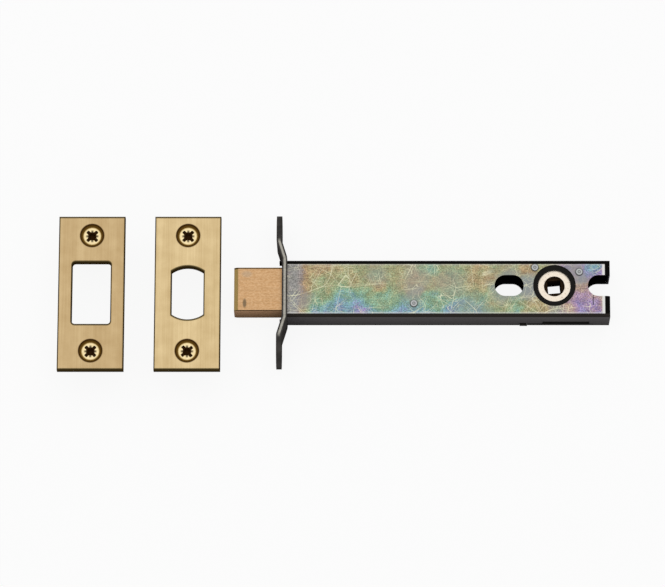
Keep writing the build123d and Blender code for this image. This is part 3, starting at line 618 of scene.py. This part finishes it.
def polished_brass():
    """Pale gold on the heads' flat tops, with painted shade at the rim, on the marks and round the recesses,
    painted shade in the recesses, yellow brass on the flanks and cores.
    """
    finish, place = new_finish("polished_brass_screw", 0.3)
    z = put(finish, "SeparateXYZ", {0: place}, out="Z")
    spots = put(finish, "TexNoise", {"Vector": place, "Scale": 1 / 0.8, "Detail": 2.0})
    top = put(finish, "Mix", {0: spots, TINT_A: paint("#D3BC88"), TINT_B: paint("#EEDDB2")}, **TINT)
    away = from_axes(finish, place, SCREWS)
    # painted shade a little way in from the rim
    rim = {"Value": away, "From Min": HEAD_RADIUS - RIM_SHADE, "From Max": HEAD_RADIUS}
    rim = put(finish, "MapRange", rim)
    top = put(finish, "Mix", {0: rim, TINT_A: top, TINT_B: paint("#9A7F48")}, **TINT)
    # marks, painted dark as shade: within half a width of one fold, and within a mark's reach along the other
    first, last = middle_of(SCREWS[0]), middle_of(SCREWS[3])
    offset = put(finish, "VectorMath", {0: place, 1: (first + last) / 2}, operation="SUBTRACT")
    offset = put(finish, "VectorMath", {0: offset}, operation="ABSOLUTE")
    offset = put(finish, "VectorMath", {0: offset, 1: (first - last) / 2}, operation="SUBTRACT")
    offset = put(finish, "VectorMath", {0: offset}, operation="ABSOLUTE")
    beside, along = (put(finish, "SeparateXYZ", {0: offset}, out=axis) for axis in "XY")
    narrow = put(finish, "Math", {0: beside, 1: along}, operation="MINIMUM")
    reach = put(finish, "Math", {0: beside, 1: along}, operation="MAXIMUM")
    screw_shade = {"Value": narrow, "From Min": MARK_HALF - MARK_BLUR, "From Max": MARK_HALF}
    screw_shade = put(finish, "MapRange", {**screw_shade, "To Min": 0.85, "To Max": 0.0})
    inner, outer = MARK_REACH
    fade = {"Value": reach, "From Min": outer - MARK_FADE, "From Max": outer, "To Min": 1.0, "To Max": 0.0}
    screw_shade = put(finish, "Math", {0: screw_shade, 1: put(finish, "MapRange", fade)}, operation="MULTIPLY")
    start = put(finish, "MapRange", {"Value": reach, "From Min": inner - 0.1, "From Max": inner})
    screw_shade = put(finish, "Math", {0: screw_shade, 1: start}, operation="MULTIPLY")
    # painted shade over and just beyond the stamped recess: a round middle and four arms on the diagonals
    middle = {"Value": away, "From Min": RECESS_SHADE_MIDDLE - RECESS_SHADE_BLUR, "From Max": RECESS_SHADE_MIDDLE}
    middle = put(finish, "MapRange", {**middle, "To Min": RECESS_SHADE_FULL, "To Max": 0.0})
    screw_shade = put(finish, "Math", {0: screw_shade, 1: middle}, operation="MAXIMUM")
    skew = put(finish, "Math", {0: beside, 1: along}, operation="SUBTRACT")
    skew = put(finish, "Math", {0: skew}, operation="ABSOLUTE")
    arm_shade = {"Value": skew, "From Min": RECESS_SHADE_ARM - MARK_BLUR, "From Max": RECESS_SHADE_ARM}
    arm_shade = put(finish, "MapRange", {**arm_shade, "To Min": RECESS_SHADE_FULL, "To Max": 0.0})
    arm_end = {"Value": away, "From Min": RECESS_SHADE_REACH - RECESS_SHADE_BLUR, "From Max": RECESS_SHADE_REACH}
    arm_end = put(finish, "MapRange", {**arm_end, "To Min": 1.0, "To Max": 0.0})
    arm_shade = put(finish, "Math", {0: arm_shade, 1: arm_end}, operation="MULTIPLY")
    screw_shade = put(finish, "Math", {0: screw_shade, 1: arm_shade}, operation="MAXIMUM")
    top = put(finish, "Mix", {0: screw_shade, TINT_A: top, TINT_B: paint("#2A1A0C")}, **TINT)
    # below the flat top: painted shade in the recess, and further down the flanks and the core
    aside = {"Value": away, "From Min": RECESS_REACH, "From Max": RECESS_REACH + 0.1}
    aside = put(finish, "MapRange", aside)
    floor = head_top - RECESS_DEPTH
    lower = {"Value": z, "From Min": floor - 0.1, "From Max": floor, "To Min": 1.0, "To Max": 0.0}
    plain = put(finish, "Math", {0: aside, 1: put(finish, "MapRange", lower)}, operation="MAXIMUM")
    under = put(finish, "Mix", {0: plain, TINT_A: paint("#38230F"), TINT_B: paint("#B48C45")}, **TINT)
    on_top = {"Value": z, "From Min": head_top - FACE_SKIN[0], "From Max": head_top - FACE_SKIN[1]}
    on_top = put(finish, "MapRange", on_top)
    colour = put(finish, "Mix", {0: on_top, TINT_A: under, TINT_B: top}, **TINT)
    metal = put(finish, "Math", {0: on_top, 1: plain}, operation="MAXIMUM")
    dress(finish, {"Base Color": colour, "Metallic": metal}, *SCREWS)
    return finish


screw_finish = polished_brass()

# %% [markdown]
# A wood screw's thread is a sharp ridge wound round the core. It could be cut from the solid, but a ridge
# laid on the core is lighter and looks the same: four corners of a small wedge are carried along a helix,
# and the wedge shrinks to nothing under the head and at the point.

# %% Threads on the screws
THREAD_PITCH = 1.8  # mm
THREAD_RADIUS = 1.9  # just inside the plate's hole, mm
CORE_RADIUS = 1.25  # mm
THREAD_ROOT = 0.5  # half the ridge's width at the core, mm
THREAD_CREST = 0.08  # half the ridge's width at its crest, mm
THREAD_BITE = 0.08  # how far the ridge's root is sunk in the core, mm
POINT_LENGTH = 3.0  # mm
THREAD_START = 2.6  # below the head's top, mm
THREAD_STOP = 0.6  # above the point, mm
STEPS_PER_TURN = 28


def thread_ridge(axis_x, axis_y, top, length):
    """A wedge along a helix: angle and depth grow together, and the crest's height fades at both ends.

    Corners of the wedge, at each step: root above, crest above, crest below, root below. The core's radius
    is constant, then falls to nothing along the point."""
    turns = (length - THREAD_STOP - THREAD_START) / THREAD_PITCH
    along = np.linspace(0, 1, int(turns * STEPS_PER_TURN) + 1)
    depth = THREAD_START + along * turns * THREAD_PITCH
    angle = 2 * pi * along * turns
    core = CORE_RADIUS * np.clip((length - depth) / POINT_LENGTH, 0, 1)
    fade = np.clip(along * turns, 0, 1) * np.clip((1 - along) * turns / 2, 0.02, 1)
    crest = core + (THREAD_RADIUS - CORE_RADIUS) * fade
    root = np.maximum(core - THREAD_BITE, 0.02)
    radius = np.stack([root, crest, crest, root], axis=1)
    lift = np.outer(0.1 + 0.9 * fade, [THREAD_ROOT, THREAD_CREST, -THREAD_CREST, -THREAD_ROOT])
    x = axis_x + radius * np.cos(angle)[:, None]
    y = axis_y - radius * np.sin(angle)[:, None]
    z = top - depth[:, None] + lift
    return np.stack([x, y, z], axis=2) * MM


def swept_mesh(name, rings):
    """Mesh of rings of points joined one to the next, closed round each ring and capped at both ends."""
    steps, corners, _ = rings.shape
    numbers = np.arange(steps * corners).reshape(steps, corners)
    here, there = numbers[:-1], numbers[1:]
    quads = np.stack([here, there, np.roll(there, -1, axis=1), np.roll(here, -1, axis=1)], axis=2)
    faces = np.concatenate([quads.reshape(-1, 4), numbers[:1], numbers[-1:, ::-1]]).tolist()
    mesh = bpy.data.meshes.new(name)
    mesh.from_pydata(rings.reshape(-1, 3).tolist(), [], faces)
    piece = bpy.data.objects.new(name, mesh)
    bpy.context.scene.collection.objects.link(piece)
    return piece


for screw in SCREWS:
    low, high = (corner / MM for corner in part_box(screw))
    axis_x, axis_y = middle_of(screw).xy
    thread = swept_mesh(screw + "_thread", thread_ridge(axis_x, axis_y, high.z, high.z - low.z))
    thread.data.materials.append(screw_finish)
    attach(thread, "case")
    print(thread.name, len(thread.data.polygons), "faces")

# %% [markdown]
# The follower is turned bright and nickel plated, but only its face rings show it: the counterbore and the
# square socket are painted dark as shade. The ring picks up a warm tint from the brass beside it, and small
# pits.

# %% Turned nickel for the follower
FOLLOWER_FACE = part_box("follower")[1].z / MM


def turned_nickel():
    """Warm white on the two face rings, with small pits, and painted shade below them."""
    finish, place = new_finish("turned_nickel_plate", 0.35)
    z = put(finish, "SeparateXYZ", {0: place}, out="Z")
    height = put(finish, "Math", {0: z}, operation="ABSOLUTE")
    start, full = (FOLLOWER_FACE - depth for depth in FACE_SKIN)
    on_ring = put(finish, "MapRange", {"Value": height, "From Min": start, "From Max": full})
    pits = put(finish, "TexNoise", {"Vector": place, "Scale": 1 / 0.7, "Detail": 3.0, "Roughness": 0.7})
    pitted = put(finish, "MapRange", {"Value": pits, "From Min": 0.3, "From Max": 0.42})
    ring = put(finish, "Mix", {0: pitted, TINT_A: paint("#A48F79"), TINT_B: paint("#E0D5C5")}, **TINT)
    bore_shade = put(finish, "Mix", {0: pits, TINT_A: paint("#0C0907"), TINT_B: paint("#3E2E1E")}, **TINT)
    colour = put(finish, "Mix", {0: on_ring, TINT_A: bore_shade, TINT_B: ring}, **TINT)
    dress(finish, {"Base Color": colour, "Metallic": on_ring}, "follower")


turned_nickel()

# %% [markdown]
# The bushes are moulded in black acetal, a slippery plastic with a soft sheen. A faint grain stops them
# from looking like a hole in the picture.

# %% Moulded acetal for the bushes
ACETAL_IOR = 1.48


def moulded_acetal():
    """Near-black plastic whose sheen varies with a fine grain."""
    finish, place = new_finish("moulded_black_acetal", 0.5)
    shader = finish.node_tree.nodes["Principled BSDF"]
    shader.inputs["Metallic"].default_value = 0.0
    shader.inputs["IOR"].default_value = ACETAL_IOR
    shader.inputs["Specular IOR Level"].default_value = 0.1
    grain = put(finish, "TexNoise", {"Vector": place, "Scale": 1 / 0.6, "Detail": 3.0})
    colour = put(finish, "Mix", {0: grain, TINT_A: paint("#0A0908"), TINT_B: paint("#1C1A16")}, **TINT)
    sheen = put(finish, "MapRange", {"Value": grain, "To Min": 0.4, "To Max": 0.6})
    dress(finish, {"Base Color": colour, "Roughness": sheen}, "follower_bush_front", "follower_bush_rear")


moulded_acetal()

# %% [markdown]
# The three rivets are bright steel, spun over so that each head has a ring and a small boss in its middle.
# The distance from the nearest rivet's axis draws these in painted light and shade, and the head's upright
# rim is dull, with painted shade.

# %% Spun steel for the rivets
SPIN_RING = 0.9  # from one ring of painted highlight to the next, mm


def spun_steel():
    """Pale steel with a ring of painted shade between the rim and the middle, from the distance to the
    nearest axis, and painted shade on the upright rim.
    """
    finish, place = new_finish("spun_steel_rivet", 0.35)
    away = from_axes(finish, place, RIVETS)
    turns = put(finish, "Math", {0: away, 1: 2 * pi / SPIN_RING}, operation="MULTIPLY")
    wave = put(finish, "Math", {0: turns}, operation="COSINE")
    tone = put(finish, "MapRange", {"Value": wave, "From Min": -1.0, "From Max": 1.0})
    top = put(finish, "Mix", {0: tone, TINT_A: paint("#707171"), TINT_B: paint("#AFB1B1")}, **TINT)
    normal = put(finish, "TexCoord", {}, out="Normal")
    upright = put(finish, "SeparateXYZ", {0: normal}, out="Z")
    upright = put(finish, "Math", {0: upright}, operation="ABSOLUTE")
    on_top = put(finish, "MapRange", {"Value": upright, "From Min": 0.4, "From Max": 0.7})
    colour = put(finish, "Mix", {0: on_top, TINT_A: paint("#2A2929"), TINT_B: top}, **TINT)
    dress(finish, {"Base Color": colour, "Metallic": on_top}, *RIVETS)


spun_steel()

# %% [markdown]
# Inside the case are mild steel pieces, blackened in hot oil, and a leaf of spring steel that was blued by
# its heat treatment. Little of them shows, mostly the guide tab at the lower wall, so a quiet mottle is
# enough.

# %% Steels inside the case


def mottled_steel(name, metallic, dark_tone, pale_tone, grain_size, *nodes):
    """Steel mottled between two tones, with a grain of that size in mm. A blackened one is dull."""
    finish, place = new_finish(name, 0.4)
    finish.node_tree.nodes["Principled BSDF"].inputs["Metallic"].default_value = metallic
    grain = put(finish, "TexNoise", {"Vector": place, "Scale": 1 / grain_size, "Detail": 4.0})
    colour = put(finish, "Mix", {0: grain, TINT_A: paint(dark_tone), TINT_B: paint(pale_tone)}, **TINT)
    dress(finish, {"Base Color": colour}, *nodes)


mottled_steel("oil_blackened_mild_steel", 0.0, "#141312", "#2E2C2A", 1.5, "draw_bar", "bolt_pin")
mottled_steel("blued_spring_steel", 1.0, "#23262E", "#4A5262", 0.8, "detent_spring")

# %% [markdown]
# The set lies on a white table under a wide soft lamp. To the light that bounces off it the table is a
# diffuse white, but to the camera and in reflections most of that white is a glow. So it comes out as
# clean white paper with a faint shadow, without more light on the metal.

# %% Table and light
TABLE_SIDE = 4.0  # metres
TABLE_GLOW = 0.9  # share of the white that needs no lamp


def white_table():
    """Diffuse white for the light that bounces, mostly glowing white for the camera and in reflections."""
    finish = bpy.data.materials.new("white_paper_table")
    finish.use_nodes = True
    finish.node_tree.nodes.clear()
    seen, mirrored = (put(finish, "LightPath", {}, out=ray) for ray in ("Is Camera Ray", "Is Glossy Ray"))
    shown = put(finish, "Math", {0: seen, 1: mirrored}, operation="MAXIMUM")
    share = put(finish, "Math", {0: shown, 1: TABLE_GLOW}, operation="MULTIPLY")
    paper = put(finish, "BsdfDiffuse", {"Color": paint("#F7F7F7")})
    glow = put(finish, "Emission", {"Color": (1, 1, 1, 1), "Strength": 1.0})
    both = put(finish, "MixShader", {0: share, 1: paper, 2: glow})
    surface = finish.node_tree.nodes.new("ShaderNodeOutputMaterial")
    finish.node_tree.links.new(both, surface.inputs["Surface"])
    return finish


corners = np.array([[-1, -1], [1, -1], [1, 1], [-1, 1]]) * TABLE_SIDE / 2
table_mesh = bpy.data.meshes.new("table")
table_mesh.from_pydata([(*corner, cad_low.z) for corner in corners.tolist()], [], [(0, 1, 2, 3)])
table = bpy.data.objects.new("table", table_mesh)
bpy.context.scene.collection.objects.link(table)
table.data.materials.append(white_table())

LAMP_SIDE = 2.2  # metres
LAMP_PLACE = (0.02, 0.45, 1.7)  # metres: where the faces mirror it into the lens
LAMP_WATTS = 12.6
ROOM_LIGHT = 0.5
lamp_data = bpy.data.lights.new("soft_box", "AREA")
lamp_data.size = LAMP_SIDE
lamp_data.energy = LAMP_WATTS
lamp = bpy.data.objects.new("soft_box", lamp_data)
lamp.location = LAMP_PLACE
lamp.rotation_euler = (Vector((0, 0, 0)) - lamp.location).to_track_quat("-Z", "Y").to_euler()
bpy.context.scene.collection.objects.link(lamp)
room = bpy.data.worlds.new("pale_room")
room.use_nodes = True
room.node_tree.nodes["Background"].inputs["Color"].default_value = (1, 1, 1, 1)
room.node_tree.nodes["Background"].inputs["Strength"].default_value = ROOM_LIGHT
bpy.context.scene.world = room
print("table at", round(cad_low.z / MM, 2), "mm, lamp", LAMP_WATTS, "W")

# %% [markdown]
# The photograph was taken from almost straight above, leaning towards the lower side, with a long lens.
# Its scale is known from the plates, so the lens follows from the distance and the width that the
# picture covers.

# %% Camera
PICTURE_WIDTH, PICTURE_HEIGHT = 665, 587
PIXELS_PER_MM = 2.64
ORIGIN_PIXEL = (276.7, 292.7)  # where the frame's origin falls in the picture
LEAN = radians(15.5)
CAMERA_DISTANCE = 1.8  # metres
CAMERA_SHIFT = -0.08  # of the picture's width, as its middle lies left of the lens's axis
SENSOR = 36.0  # mm

covers = PICTURE_WIDTH / PIXELS_PER_MM * MM
aim_x = (PICTURE_WIDTH / 2 - ORIGIN_PIXEL[0]) / PIXELS_PER_MM * MM - CAMERA_SHIFT * covers
aim_y = (ORIGIN_PIXEL[1] - PICTURE_HEIGHT / 2) / PIXELS_PER_MM * MM / cos(LEAN)
camera_data = bpy.data.cameras.new("camera")
camera_data.sensor_width = SENSOR
camera_data.lens = SENSOR * CAMERA_DISTANCE / covers
camera_data.shift_x = CAMERA_SHIFT
camera = bpy.data.objects.new("camera", camera_data)
camera.location = (aim_x, aim_y - CAMERA_DISTANCE * sin(LEAN), CAMERA_DISTANCE * cos(LEAN))
camera.rotation_euler = (LEAN, 0, 0)
bpy.context.scene.collection.objects.link(camera)
bpy.context.scene.camera = camera
bpy.context.scene.view_settings.view_transform = "Standard"
print("lens", round(camera_data.lens, 1), "mm")
